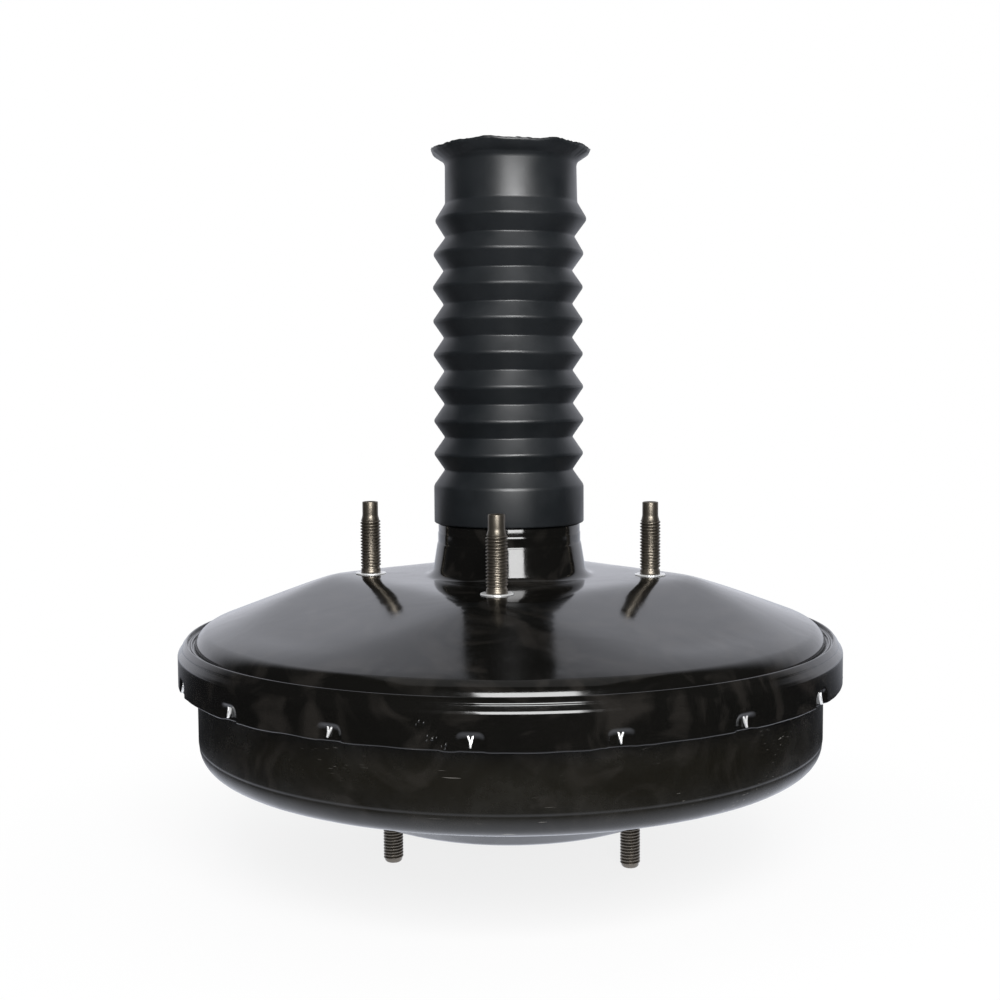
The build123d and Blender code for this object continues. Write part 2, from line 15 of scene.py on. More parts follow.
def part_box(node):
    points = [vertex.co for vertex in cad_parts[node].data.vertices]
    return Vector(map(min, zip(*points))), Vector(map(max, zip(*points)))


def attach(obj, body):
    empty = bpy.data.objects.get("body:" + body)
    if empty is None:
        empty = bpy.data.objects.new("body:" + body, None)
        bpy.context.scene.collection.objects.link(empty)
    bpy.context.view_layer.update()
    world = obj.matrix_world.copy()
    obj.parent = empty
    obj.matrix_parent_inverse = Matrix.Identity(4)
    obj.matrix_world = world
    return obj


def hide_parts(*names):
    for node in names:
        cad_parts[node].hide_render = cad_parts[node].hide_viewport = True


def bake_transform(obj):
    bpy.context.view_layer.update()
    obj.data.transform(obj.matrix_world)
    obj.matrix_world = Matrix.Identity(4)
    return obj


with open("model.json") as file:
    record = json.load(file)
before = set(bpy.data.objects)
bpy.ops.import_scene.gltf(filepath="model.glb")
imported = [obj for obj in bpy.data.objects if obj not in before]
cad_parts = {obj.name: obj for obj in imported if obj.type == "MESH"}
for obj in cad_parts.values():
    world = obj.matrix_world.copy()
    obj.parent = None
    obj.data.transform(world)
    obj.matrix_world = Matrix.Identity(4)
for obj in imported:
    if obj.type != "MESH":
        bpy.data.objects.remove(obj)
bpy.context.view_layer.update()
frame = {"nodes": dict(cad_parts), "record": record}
nodes = frame["nodes"]
print("pieces in the fixed model:", len(nodes))

# %% [markdown]
# ## Camera
# The booster stands upright with its long rubber boot at the top. The camera looks almost
# level, from a little above the rim, with a lens somewhat longer than normal. Four studs stand
# a quarter turn apart, and the view is turned five degrees away from the front one.

# %% Camera at the viewing angle
MM = 0.001
VIEW_TURN = math.radians(5.0)
VIEW_DISTANCE = 572.3 * MM
VIEW_SIDE = -3.6 * MM
VIEW_HEIGHT = 75.4 * MM
VIEW_PITCH = math.radians(4.56)
VIEW_ROLL = math.radians(-0.35)
LENS_MM = 51.55
SENSOR_MM = 36.0
NEAREST = 10 * MM

camera_data = bpy.data.cameras.new("camera")
camera_data.lens = LENS_MM
camera_data.sensor_width = SENSOR_MM
camera_data.clip_start = NEAREST
camera = bpy.data.objects.new("camera", camera_data)
bpy.context.scene.collection.objects.link(camera)
camera.matrix_world = (
    Matrix.Rotation(VIEW_TURN, 4, "Z")
    @ Matrix.Translation((VIEW_SIDE, -VIEW_DISTANCE, VIEW_HEIGHT))
    @ Matrix.Rotation(math.radians(90) - VIEW_PITCH, 4, "X")
    @ Matrix.Rotation(VIEW_ROLL, 4, "Z")
)
bpy.context.scene.camera = camera
bpy.context.scene.view_settings.view_transform = "Standard"
print("camera at", [round(v, 3) for v in camera.matrix_world.translation])

# %% [markdown]
# ## Colours and nodes
# Colours are written as the hex values that a paint chart or a screen gives. A renderer works
# with linear light, so one function turns them. A second one adds a shader node with its
# settings and its links, which keeps each material short.

# %% Colour and node helpers


def linear(hex_colour):
    """Turn an sRGB hex colour such as "#1a1a1c" into linear red, green, blue and alpha."""
    channels = [int(hex_colour[i:i + 2], 16) / 255 for i in (1, 3, 5)]
    return [c / 12.92 if c <= 0.04045 else ((c + 0.055) / 1.055) ** 2.4 for c in channels] + [1.0]


def node(material, kind, inputs=None, **settings):
    """Add a node. inputs holds values to set and sockets to link, settings are its own."""
    made = material.node_tree.nodes.new(kind)
    for name, value in settings.items():
        setattr(made, name, value)
    for name, value in (inputs or {}).items():
        if isinstance(value, bpy.types.NodeSocket):
            material.node_tree.links.new(value, made.inputs[name])
        else:
            made.inputs[name].default_value = value
    return made


def blank(name):
    """A new material with an empty node tree, and the place of each point on its object."""
    made = bpy.data.materials.new(name)
    made.use_nodes = True
    made.node_tree.nodes.clear()
    return made, node(made, "ShaderNodeTexCoord").outputs["Object"]


def coat(material, **inputs):
    """Close a material with a Principled shader. An input's name has _ for each space."""
    named = {name.replace("_", " "): value for name, value in inputs.items()}
    shader = node(material, "ShaderNodeBsdfPrincipled", named)
    node(material, "ShaderNodeOutputMaterial", {"Surface": shader.outputs["BSDF"]})
    return material


# %% [markdown]
# ## Turning a profile
# Both shells, the boot, the studs and most of the inner pieces were turned, pressed or
# moulded round an axis. One way to make such a shape is to stack cylinders. A better one is to
# draw half of its section as a wire, round the wire's corners with the bevel operator and spin
# it. The rounding is then a real size, like the die's radius, and the same helper serves every
# round piece.

# %% Helper: spin a rounded profile about an upright axis
MICRON = 0.001 * MM


def profile(bm, outline, rounds):
    """Draw (radius, height) points in mm as a closed wire, and round some of its corners.

    rounds gives, for a corner's number, how far its rounding reaches in mm and its steps.
    """
    corners = [bm.verts.new((r * MM, 0, z * MM)) for r, z in outline]
    for a, b in zip(corners, corners[1:] + corners[:1]):
        bm.edges.new((a, b))
    for index, (reach, steps) in rounds.items():
        bmesh.ops.bevel(bm, geom=[corners[index]], offset=reach * MM, offset_type="OFFSET",
                        segments=steps, profile=0.5, material=-1, affect="VERTICES")


def spin_round(bm, steps):
    """Spin everything in the mesh once round the Z axis and close the seam."""
    bmesh.ops.spin(bm, geom=bm.verts[:] + bm.edges[:], axis=(0, 0, 1), cent=(0, 0, 0),
                   angle=math.tau, steps=steps, use_merge=True)
    bmesh.ops.remove_doubles(bm, verts=bm.verts[:], dist=MICRON)


def add_piece(bm, name, body, material):
    """Turn the mesh into a piece that rides on a body and takes its finish from a slot.

    A piece that bends between two bodies has None for its body.
    """
    data = bpy.data.meshes.new(name)
    for face in bm.faces:
        face.smooth = True
    bm.to_mesh(data)
    bm.free()
    data.materials.append(material)
    piece = bpy.data.objects.new(name, data)
    bpy.context.scene.collection.objects.link(piece)
    if body is not None:
        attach(piece, body)
    print(name, "has", len(data.polygons), "faces")
    return piece


def join(target, part):
    """Move everything in one mesh into another."""
    loose = bpy.data.meshes.new("loose")
    part.to_mesh(loose)
    part.free()
    target.from_mesh(loose)
    bpy.data.meshes.remove(loose)


def turned(name, outline, rounds, steps, body, material):
    """A closed section spun into a finished round piece."""
    bm = bmesh.new()
    profile(bm, outline, rounds)
    spin_round(bm, steps)
    bmesh.ops.recalc_face_normals(bm, faces=bm.faces[:])
    return add_piece(bm, name, body, material)


# %% [markdown]
# ## Black enamel on pressed steel
# Both shells are deep-drawn mild steel, dipped in black stoving enamel. The eye sees a black
# with almost no colour of its own, a clear reflection with a slight waviness, and places where
# wiping and handling have left it duller. A dark base with an enamel's IOR of 1.5 gives the
# black. Two noise patterns change the roughness: one some 40 mm across for the wiped patches,
# and one a few mm across for the grain of the coat. A third, pulled into swirls, lightens the
# colour where drops have dried. A fourth is stretched into hair lines, and a fifth chooses the
# places that have them, for the scratches of the front shell. A weak bump waves the reflection.

# %% Enamel


def enamel(name, colours, roughness, wave_height, scratch, haze):
    """Black stoving enamel. roughness is (clean, wiped) and wave_height is in mm.

    scratch and haze, from 0 to 1, say how strongly scratches and dried drops show.
    """
    made, place = blank(name)
    patches = node(made, "ShaderNodeTexNoise", {"Vector": place, "Scale": 26.0, "Detail": 2.5,
                                                "Roughness": 0.55, "Distortion": 1.2})
    grain = node(made, "ShaderNodeTexNoise", {"Vector": place, "Scale": 420.0, "Detail": 3.0})
    wiped = node(made, "ShaderNodeMapRange", {
        "Value": patches.outputs["Fac"], "From Min": 0.35, "From Max": 0.68,
        "To Min": roughness[0], "To Max": roughness[1]})
    rough = node(made, "ShaderNodeMath", {
        0: grain.outputs["Fac"], 1: 0.12, 2: wiped.outputs["Result"]}, operation="MULTIPLY_ADD")
    film = node(made, "ShaderNodeMix", {
        0: patches.outputs["Fac"], 6: linear(colours[0]), 7: linear(colours[1])},
        data_type="RGBA")
    marks = node(made, "ShaderNodeTexNoise", {"Vector": place, "Scale": 34.0, "Detail": 2.5,
                                              "Distortion": 2.4})
    dried = node(made, "ShaderNodeMapRange", {
        "Value": marks.outputs["Fac"], "From Min": 0.50, "From Max": 0.66,
        "To Min": 0.0, "To Max": haze})
    film = node(made, "ShaderNodeMix", {
        0: dried.outputs["Result"], 6: film.outputs[2], 7: linear("#302d2a")},
        data_type="RGBA")
    across = node(made, "ShaderNodeMapping", {"Vector": place, "Rotation": (0.2, 0.5, 0.3),
                                              "Scale": (60.0, 500.0, 1600.0)})
    streaks = node(made, "ShaderNodeTexNoise", {"Vector": across.outputs["Vector"], "Scale": 1.0,
                                                "Detail": 1.0})
    where = node(made, "ShaderNodeTexNoise", {"Vector": place, "Scale": 21.0, "Detail": 3.0})
    line = node(made, "ShaderNodeMapRange", {
        "Value": streaks.outputs["Fac"], "From Min": 0.70, "From Max": 0.74})
    some = node(made, "ShaderNodeMapRange", {
        "Value": where.outputs["Fac"], "From Min": 0.56, "From Max": 0.64,
        "To Min": 0.0, "To Max": scratch})
    mark = node(made, "ShaderNodeMath", {0: line.outputs["Result"], 1: some.outputs["Result"]},
                operation="MULTIPLY")
    tint = node(made, "ShaderNodeMix", {
        0: mark.outputs[0], 6: film.outputs[2], 7: linear("#6e6c68")}, data_type="RGBA")
    wave = node(made, "ShaderNodeBump", {"Height": patches.outputs["Fac"], "Strength": 1.0,
                                         "Distance": wave_height * MM})
    return coat(made, Base_Color=tint.outputs[2], Roughness=rough.outputs[0], IOR=1.5,
                Normal=wave.outputs["Normal"])


rear_enamel = enamel("black_stoving_enamel", ("#080807", "#0e0d0b"), roughness=(0.03, 0.10),
                     wave_height=0.16, scratch=0.0, haze=0.32)
front_enamel = enamel("worn_black_enamel", ("#0c0b08", "#17150f"), roughness=(0.12, 0.24),
                      wave_height=0.25, scratch=0.8, haze=0.25)
print("enamel colours:", rear_enamel.name, front_enamel.name)

# %% [markdown]
# ## Plain finishes
# The inner pieces and the studs have plain finishes. One function serves all of them, because
# they differ only in colour, gloss, metal or not, and in the size of their grain: the crystals
# of phosphate and zinc are below a millimetre, and the flow marks of nylon just above it.

# %% Plain finishes


def plain(name, colours, metallic, roughness, grain_mm, relief_mm, ior=1.5):
    """A two-toned finish with grain_mm between its grains and relief_mm of height in them."""
    made, place = blank(name)
    grain = node(made, "ShaderNodeTexNoise", {"Vector": place, "Scale": 1 / (grain_mm * MM),
                                              "Detail": 3.0})
    patches = node(made, "ShaderNodeTexNoise", {"Vector": place, "Scale": 70.0, "Detail": 4.0})
    film = node(made, "ShaderNodeMix", {
        0: patches.outputs["Fac"], 6: linear(colours[0]), 7: linear(colours[1])},
        data_type="RGBA")
    rough = node(made, "ShaderNodeMapRange", {
        "Value": grain.outputs["Fac"], "From Min": 0.3, "From Max": 0.7,
        "To Min": roughness - 0.05, "To Max": roughness + 0.08})
    relief = node(made, "ShaderNodeBump", {"Height": grain.outputs["Fac"], "Strength": 0.6,
                                           "Distance": relief_mm * MM})
    return coat(made, Base_Color=film.outputs[2], Roughness=rough.outputs["Result"],
                Metallic=metallic, IOR=ior, Normal=relief.outputs["Normal"])


# %% [markdown]
# ## Rear shell
# The rear shell faces the bulkhead. It is drawn from one sheet: a neck for the boot, a flat
# square face with a stud at each corner, a dome that falls away to the rim, a rolled edge with
# two fine beads, and a straight skirt that covers the front shell's flange. A flat disc with a
# Solidify modifier would give a wall of even thickness but sharp rims. The section is drawn
# with both sides of the sheet instead, so every rim gets the radius that a coat of enamel
# leaves on it, and then it is spun.

# %% Rear shell: the section
SHEET = 1.8
SHEET_ACROSS = 1.93
STUD_OFFSET = 56.35
FLAT_HALF = 54.0
PAD_REACH = 72.0
CONE_SLOPE = math.tan(math.radians(21.0))
FACET_SLOPE = math.tan(math.radians(15.5))
FACET_ROUND = 1.3
FACET_END = (104, 121)
PRESSED_FROM = 34.5
PRESSED_TO = 120.5
PAD_LIFT = 0.08
DOME_START = 36
DOME_STEP = 3.5
DOME_POINTS = 24
RIM_RAD = 131.0
SKIRT_BOTTOM = -39.14
TAB_COUNT = 17
TAB_PHASE = math.radians(-90.9)
HALF_COLUMNS = 17


def cone_z(radius):
    """Height of the dome's cone at a radius, in mm."""
    return -max(0, radius - PAD_REACH) * CONE_SLOPE


rear_outline = [(27.6, 29.8), (27.6, 20.8), (28.3, 20.8), (28.3, 17.5), (28.5, 17.1),
                (28.5, 13.4), (28.8, 12.9), (30.9, 0.0)]
rear_rounds = {0: (0.4, 2), 2: (0.35, 2), 3: (0.3, 2), 4: (0.35, 3), 5: (0.3, 2), 6: (0.35, 3),
               7: (3.4, 7)}
dome = [DOME_START + DOME_STEP * step for step in range(DOME_POINTS)]
rear_outline += [(radius, cone_z(radius)) for radius in dome]
edge = len(rear_outline)
rear_outline += [(123.6, -19.8), (124.75, -24.6), (125.3, -24.6), (125.5, -23.5),
                 (126.1, -23.5), (126.3, -24.0), (127.0, -24.0), (127.4, -22.4), (127.95, -22.4),
                 (129.3, -24.15), (129.35, -24.75), (RIM_RAD, -26.85)]
rear_rounds.update({edge: (4.05, 12), edge + 1: (0.2, 2), edge + 2: (0.2, 2), edge + 3: (0.2, 2),
                    edge + 4: (0.2, 2), edge + 5: (0.15, 2), edge + 6: (0.2, 2),
                    edge + 7: (0.25, 4), edge + 8: (0.25, 4), edge + 9: (0.2, 3),
                    edge + 10: (0.14, 2), edge + 11: (0.75, 5)})
rear_outline += [(RIM_RAD, z) for z in (-28.6, -30.4, -31.8, -32.5, -33.0, -33.4, -33.9, -34.6,
                                        -35.6, -36.8, -37.8)]
rear_rounds[len(rear_outline)] = (0.55, 3)
rear_outline.append((RIM_RAD, SKIRT_BOTTOM))
rear_rounds[len(rear_outline)] = (0.55, 2)
rear_outline += [(RIM_RAD - SHEET, z) for z in (SKIRT_BOTTOM, -37.8, -35.8, -34.6, -33.4, -32.4,
                                                -29.24)]
rear_outline += [(122.7, -29.24), (122.7, -22.3)]
rear_outline += [(r, cone_z(r) - SHEET_ACROSS)
                 for r in (118, 108, 98, 88, 80, 72, 66, 60, 54, 48, 42, 36)]
rear_outline += [(29.2, -SHEET_ACROSS), (29.1, 0), (27.0, 14.0), (26.8, 19.0), (25.8, 19.0),
                 (25.8, 29.8)]
print("points in the rear shell's section:", len(rear_outline))

# %% [markdown]
# ## The flats between the studs
# The press also sinks four flats between the studs, so the face looks like a rounded square.
# A boolean with four planes would leave hard creases. Here each vertex of the dome goes down to
# the lowest of the pad, the cone and the nearest sloping plane, with a soft change from one to
# the other, as the sheet does over the die's rounded edge. Before that, the columns of the
# spin are moved along their circles. They stand close together where the walls of the pockets
# will be, and further apart between them, so that the mesh is fine only where it must be.

# %% Rear shell: spin the section and press the flats


def soft_max(a, b, blend):
    """The larger of two values, with a rounded corner where they cross."""
    return (a + b + math.sqrt((a - b) ** 2 + blend ** 2)) / 2


def smooth(value, low, high):
    """0 below low, 1 above high, and a soft step between them."""
    share = min(1, max(0, (value - low) / (high - low)))
    return share * share * (3 - 2 * share)


def dome_drop(radius, angle):
    """How far the dome lies below the mounting face, in mm.

    PAD_LIFT takes off what the soft corners add on the flat pad.
    """
    cone = (radius - PAD_REACH) * CONE_SLOPE
    across = max(radius * math.cos(angle - math.radians(45 + 90 * k)) for k in range(4))
    facet = (across - FLAT_HALF) * FACET_SLOPE
    pressed = soft_max(soft_max(0, cone, FACET_ROUND), facet, FACET_ROUND) - PAD_LIFT
    share = smooth(radius, *FACET_END)
    return pressed * (1 - share) + cone * share


rear = bmesh.new()
profile(rear, rear_outline, rear_rounds)
spin_round(rear, TAB_COUNT * 2 * HALF_COLUMNS)
bmesh.ops.rotate(rear, verts=rear.verts[:], cent=(0, 0, 0),
                 matrix=Matrix.Rotation(TAB_PHASE, 3, "Z"))
bmesh.ops.recalc_face_normals(rear, faces=rear.faces[:])

HALF_PITCH = math.pi * RIM_RAD / TAB_COUNT
COLUMN_PLACES = [0, 0.9, 1.8, 2.6, 3.3, 3.8, 4.2, 4.6, 5.0, 5.5, 6.4, 8.2, 10.4, 12.8, 15.2,
                 17.7, 20.2, HALF_PITCH]
PITCH_ANGLE = math.tau / TAB_COUNT


def from_tab(point):
    """Arc length at the rim, in mm, from the nearest lance's middle."""
    turn = math.atan2(point.y, point.x) - TAB_PHASE
    return ((turn + PITCH_ANGLE / 2) % PITCH_ANGLE - PITCH_ANGLE / 2) * RIM_RAD


for vert in rear.verts:
    arc = from_tab(vert.co)
    column = abs(arc) / HALF_PITCH * HALF_COLUMNS
    target = COLUMN_PLACES[min(HALF_COLUMNS, round(column))]
    shift = (math.copysign(target, arc) - arc) / RIM_RAD
    vert.co.xy = Matrix.Rotation(shift, 2) @ vert.co.xy
for vert in rear.verts:
    radius = vert.co.xy.length / MM
    if PRESSED_FROM < radius < PRESSED_TO and vert.co.z < 1 * MM:
        drop = dome_drop(radius, math.atan2(vert.co.y, vert.co.x))
        vert.co.z += (-drop - cone_z(radius)) * MM
print("lowest point of the skirt:", round(min(v.co.z for v in rear.verts) / MM, 2), "mm")

# %% [markdown]
# ## Lances in the skirt
# Seventeen lances lock the two shells. A punch drives a short pocket into the skirt, above its
# lower edge, and behind each pocket the metal hooks under the front shell's flange. A smooth
# push towards the axis sinks the pockets, and the sheet keeps its thickness because both of
# its sides move together. The lower edge wanders a little, as a trimmed edge under enamel does,
# and one stretch of it hangs lower than the rest.

# %% Rear shell: pockets and a wandering edge
POCKET_DEPTH = 1.05
POCKET_HALF = 2.2
POCKET_TOP = -35.9
POCKET_WALL = (0.8, 3.4)
POCKETS_BELOW = -31.0
TRIM_BAND = (37.6, 39.2)
SAG = 0.6
SAG_STARTS = (-96, -94)
SAG_ENDS = (-74.5, -72.5)
for vert in rear.verts:
    radius = vert.co.xy.length / MM
    height = vert.co.z / MM
    if radius < RIM_RAD - 2.5 or height > POCKETS_BELOW:
        continue
    beside = max(0, abs(from_tab(vert.co)) - POCKET_HALF)
    above = max(0, height - POCKET_TOP)
    depth = POCKET_DEPTH * (1 - smooth(math.hypot(beside, above), *POCKET_WALL))
    angle = math.degrees(math.atan2(vert.co.y, vert.co.x))
    low = smooth(-height, *TRIM_BAND)
    sag = SAG * smooth(angle, *SAG_STARTS) * (1 - smooth(angle, *SAG_ENDS))
    wander = 0.3 * noise.noise(vert.co * 70) + 0.15 * noise.noise(vert.co * 260)
    vert.co.xy *= (radius - depth) / radius
    vert.co.z -= (sag + wander) * low * MM
rear_shell = add_piece(rear, "rear_shell_pressing", "housing", rear_enamel)
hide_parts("rear_shell")

# %% [markdown]
# ## Sheared teeth and paint runs
# In each pocket the punch has shear-cut a small forked tooth of bare steel. Its near-white colour,
# with a large matt share, is a painted glint that keeps the tooth bright whatever it mirrors. Each
# tooth is a Y drawn as one flat face, extruded, bevelled and leaned back, and no two lean quite
# alike. The dip in enamel also left a few runs on the skirt, which are small beads sunk halfway
# in it. Where the studs are pressed in, a ring of bare metal shows, with the same painted glint.

# %% Teeth
TOOTH = [(-1.5, 0.1), (-0.7, 0.2), (0.15, -1.5), (0.6, 0.0), (1.5, 0.2), (1.0, -1.7), (0.35, -4.1),
         (-0.15, -4.1), (-0.6, -1.8)]
TOOTH_WIDTH = 0.85
TOOTH_HEIGHT = -34.3
teeth = bmesh.new()
for count in range(TAB_COUNT):
    one = bmesh.new()
    turn = TAB_PHASE + count * PITCH_ANGLE
    side = -1 if math.cos(turn) > 0.1 else 1
    corners = [one.verts.new((0, TOOTH_WIDTH * x * side * MM, z * MM)) for x, z in TOOTH]
    face = one.faces.new(corners)
    grown = bmesh.ops.extrude_face_region(one, geom=[face])["geom"]
    bmesh.ops.translate(one, verts=[g for g in grown if isinstance(g, bmesh.types.BMVert)],
                        vec=(-1.0 * MM, 0, 0))
    bmesh.ops.recalc_face_normals(one, faces=one.faces[:])
    bmesh.ops.bevel(one, geom=one.edges[:], offset=0.12 * MM, offset_type="OFFSET", segments=2,
                    profile=0.5, material=-1, affect="EDGES")
    chance = noise.noise(Vector((count * 1.7, 0.4, 0.2)))
    lean = (Matrix.Rotation(math.radians(-16 + 8 * chance), 4, "Y")
            @ Matrix.Rotation(math.radians(16 * chance), 4, "X")
            @ Matrix.Scale(0.92 + 0.2 * chance, 4))
    seat = Vector((RIM_RAD - POCKET_DEPTH + 0.35, 0, TOOTH_HEIGHT)) * MM
    place = Matrix.Rotation(turn, 4, "Z") @ Matrix.Translation(seat) @ lean
    bmesh.ops.transform(one, matrix=place, verts=one.verts[:])
    join(teeth, one)
# Bare steel in near-white with a large matt share: a painted glint for the teeth and the rings.
painted_glint_steel = plain("sheared_steel_painted_glint", ("#f2f2f0", "#e2e3e4"), metallic=0.55, roughness=0.34,
                grain_mm=0.4, relief_mm=0.03)
add_piece(teeth, "lance_teeth", "housing", painted_glint_steel)

# %% Paint runs: angle in degrees, height and size in mm
runs = bmesh.new()
RUNS = [(-98.1, -29.8, 0.6), (-97.4, -30.3, 0.5), (-98.5, -31.0, 0.4), (-96.9, -34.4, 0.5),
        (-96.2, -35.3, 0.8), (-97.0, -35.9, 0.45), (-95.6, -34.9, 0.4), (-94.3, -37.0, 0.65),
        (-94.9, -37.6, 0.4), (-94.4, -38.3, 0.5)]
for degrees, z, size in RUNS:
    spot = Matrix.Rotation(math.radians(degrees), 4, "Z") @ Vector((RIM_RAD * MM, 0, z * MM))
    bmesh.ops.create_icosphere(runs, subdivisions=2, radius=size * MM,
                               matrix=Matrix.Translation(spot))
add_piece(runs, "paint_runs", "housing", rear_enamel)

# %% Rings of bare metal round the studs, with a painted glint
RING_STEPS = 48
rings = bmesh.new()
for quarter in range(4):
    one = bmesh.new()
    profile(one, [(4.1, -0.2), (6.15, -0.2), (6.15, 0.28), (4.1, 0.28)],
            {2: (0.2, 2), 3: (0.1, 2)})
    spin_round(one, RING_STEPS)
    bmesh.ops.recalc_face_normals(one, faces=one.faces[:])
    bmesh.ops.translate(one, verts=one.verts[:], vec=(STUD_OFFSET * MM, 0, 0))
    bmesh.ops.rotate(one, verts=one.verts[:], cent=(0, 0, 0),
                     matrix=Matrix.Rotation(math.pi / 2 * quarter, 3, "Z"))
    join(rings, one)
add_piece(rings, "stud_shoulder_rings", "housing", painted_glint_steel)

# %% [markdown]
# ## Front shell
# The front shell is the deeper cup that faces the engine. Its wall is straight apart from one
# fine crease near the bottom, its lower edge is rounded to 8 mm, and its face slopes down to the
# boss that carries the master cylinder. A closed section with both sides of the sheet is spun,
# so its thickness needs no modifier.

# %% Front shell
FRONT_RAD = 123.8
FLANGE_RAD = 127.4
FLANGE_TOP = SKIRT_BOTTOM + 2.9 + SHEET
FRONT_FACE = -70.8
BOSS_FACE = -92.0
SHELL_STEPS = 320
front_outline = [
    (FLANGE_RAD, FLANGE_TOP), (FLANGE_RAD, FLANGE_TOP - SHEET), (FRONT_RAD, FLANGE_TOP - SHEET),
    (FRONT_RAD, -52), (FRONT_RAD, -61.5), (FRONT_RAD - 0.2, -62.1), (FRONT_RAD - 0.4, FRONT_FACE),
    (86, FRONT_FACE),
    (63, BOSS_FACE), (19.5, BOSS_FACE), (19.5, BOSS_FACE + 10.2), (9, BOSS_FACE + 10.2),
    (9, BOSS_FACE + 12), (21.3, BOSS_FACE + 12), (21.3, BOSS_FACE + SHEET),
    (62.3, BOSS_FACE + SHEET), (85.3, FRONT_FACE + SHEET), (FRONT_RAD - SHEET, FRONT_FACE + SHEET),
    (FRONT_RAD - SHEET, FLANGE_TOP)]
front_rounds = {0: (0.5, 2), 1: (0.5, 2), 2: (1.2, 3), 4: (0.4, 2), 5: (0.4, 3), 6: (8.0, 10),
                7: (3.0, 5), 8: (3.0, 5), 9: (0.8, 3), 10: (0.8, 3), 14: (0.8, 3), 15: (2.4, 4),
                16: (2.4, 4), 17: (6.2, 8)}
front_shell = turned("front_shell_pressing", front_outline, front_rounds, SHELL_STEPS,
                     "housing", front_enamel)
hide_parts("front_shell")

# %% [markdown]
# ## Rubber boot
# The boot is one moulding of EPDM rubber: a collar that grips the neck, a cone, eight pleats, a
# plain tube and a flared lip, cut by hand and a little ragged. The eye sees a soft charcoal
# with a broad sheen and a thin bright line on each fold. The section holds both skins. After
# the spin, slow noise makes the pleats as uneven as a soft part is, the top leans over a little,
# and quick noise frays the lip.

# %% Moulded rubber


def rubber(name, colours, roughness):
    """Moulded rubber: dark, with a broad sheen and a dusting that lightens it in patches."""
    made, place = blank(name)
    patches = node(made, "ShaderNodeTexNoise", {"Vector": place, "Scale": 60.0, "Detail": 5.0})
    skin = node(made, "ShaderNodeTexNoise", {"Vector": place, "Scale": 1500.0, "Detail": 2.0})
    film = node(made, "ShaderNodeMix", {
        0: patches.outputs["Fac"], 6: linear(colours[0]), 7: linear(colours[1])},
        data_type="RGBA")
    rough = node(made, "ShaderNodeMapRange", {
        "Value": patches.outputs["Fac"], "From Min": 0.3, "From Max": 0.7,
        "To Min": roughness - 0.06, "To Max": roughness + 0.08})
    grain = node(made, "ShaderNodeBump", {"Height": skin.outputs["Fac"], "Strength": 0.25,
                                          "Distance": 0.04 * MM})
    return coat(made, Base_Color=film.outputs[2], Roughness=rough.outputs["Result"], IOR=1.52,
                Normal=grain.outputs["Normal"])


boot_rubber = rubber("moulded_epdm_rubber", ("#0e1113", "#1a1d20"), roughness=0.40)

# %% Boot: both skins, pleats and lip
BOOT_WALL = 1.7
BOOT_BOTTOM = 21.1
COLLAR_RAD = 29.9
COLLAR_INNER = 27.9
COLLAR_HEIGHT = 14.9
CONE_HEIGHT = 6.1
TUBE_RAD = 26.0
TUBE_HEIGHT = 16.0
LIP_RAD = 31.4
LIP_HEIGHT = 5.0
CONE_BOTTOM = BOOT_BOTTOM + COLLAR_HEIGHT
PEAK = 30.0
VALLEY = 25.5
PITCH = 13.1
PLEATS = 8
LEAN = 1.4
LEAN_SPAN = (118, 148)
UNEVEN = 0.30
RUBBER_STEPS = 200
boot_outline = [(COLLAR_RAD, BOOT_BOTTOM), (COLLAR_RAD, CONE_BOTTOM)]
boot_rounds = {0: (0.7, 3), 1: (0.8, 4)}
for pleat in range(PLEATS):
    valley_z = CONE_BOTTOM + CONE_HEIGHT + PITCH * pleat
    boot_rounds[len(boot_outline)] = (0.5, 3)
    boot_outline.append((VALLEY, valley_z))
    boot_rounds[len(boot_outline)] = (1.0, 5)
    boot_outline.append((PEAK, valley_z + PITCH / 2))
tube_z = boot_outline[-1][1] + PITCH / 2
flare_z = tube_z + TUBE_HEIGHT
lip_z = flare_z + LIP_HEIGHT
boot_rounds[len(boot_outline)] = (0.6, 3)
boot_outline += [(TUBE_RAD, tube_z), (TUBE_RAD, flare_z), (LIP_RAD - 0.6, lip_z - 1.4),
                 (LIP_RAD, lip_z)]
boot_rounds[len(boot_outline) - 3] = (1.6, 4)
inner = [(r - BOOT_WALL, z) for r, z in boot_outline[::-1]]
inner[-1] = (COLLAR_INNER, BOOT_BOTTOM)
inner[-2] = (COLLAR_INNER, CONE_BOTTOM)
for index in range(1, len(inner) - 1):
    boot_rounds[len(boot_outline) + index] = (0.5, 2)
boot = bmesh.new()
profile(boot, boot_outline + inner, boot_rounds)
spin_round(boot, RUBBER_STEPS)
bmesh.ops.recalc_face_normals(boot, faces=boot.faces[:])
for vert in boot.verts:
    height = vert.co.z / MM
    soft = min(1, max(0, (height - CONE_BOTTOM) / 20))
    around = vert.co.xy.normalized()
    drift = noise.noise(Vector((around.x * 1.6, around.y * 1.6, height / 16)))
    vert.co.x += (around.x * drift * UNEVEN * soft + LEAN * smooth(height, *LEAN_SPAN)) * MM
    vert.co.y += around.y * drift * UNEVEN * soft * MM
    ragged = min(1, max(0, (height - flare_z) / 4))
    tear = (0.9 * noise.noise(Vector((around.x * 3, around.y * 3, 3.7)))
            + 0.35 * noise.noise(Vector((around.x * 30, around.y * 30, height * 0.9))))
    vert.co.z += (drift * UNEVEN * soft + ragged * tear) * MM
    fray = ragged * 0.30 * noise.noise(Vector((around.x * 34, around.y * 34, height * 2.5)))
    vert.co.x += around.x * fray * MM
    vert.co.y += around.y * fray * MM
boot_piece = add_piece(boot, "boot_sleeve", "housing", boot_rubber)
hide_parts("boot")

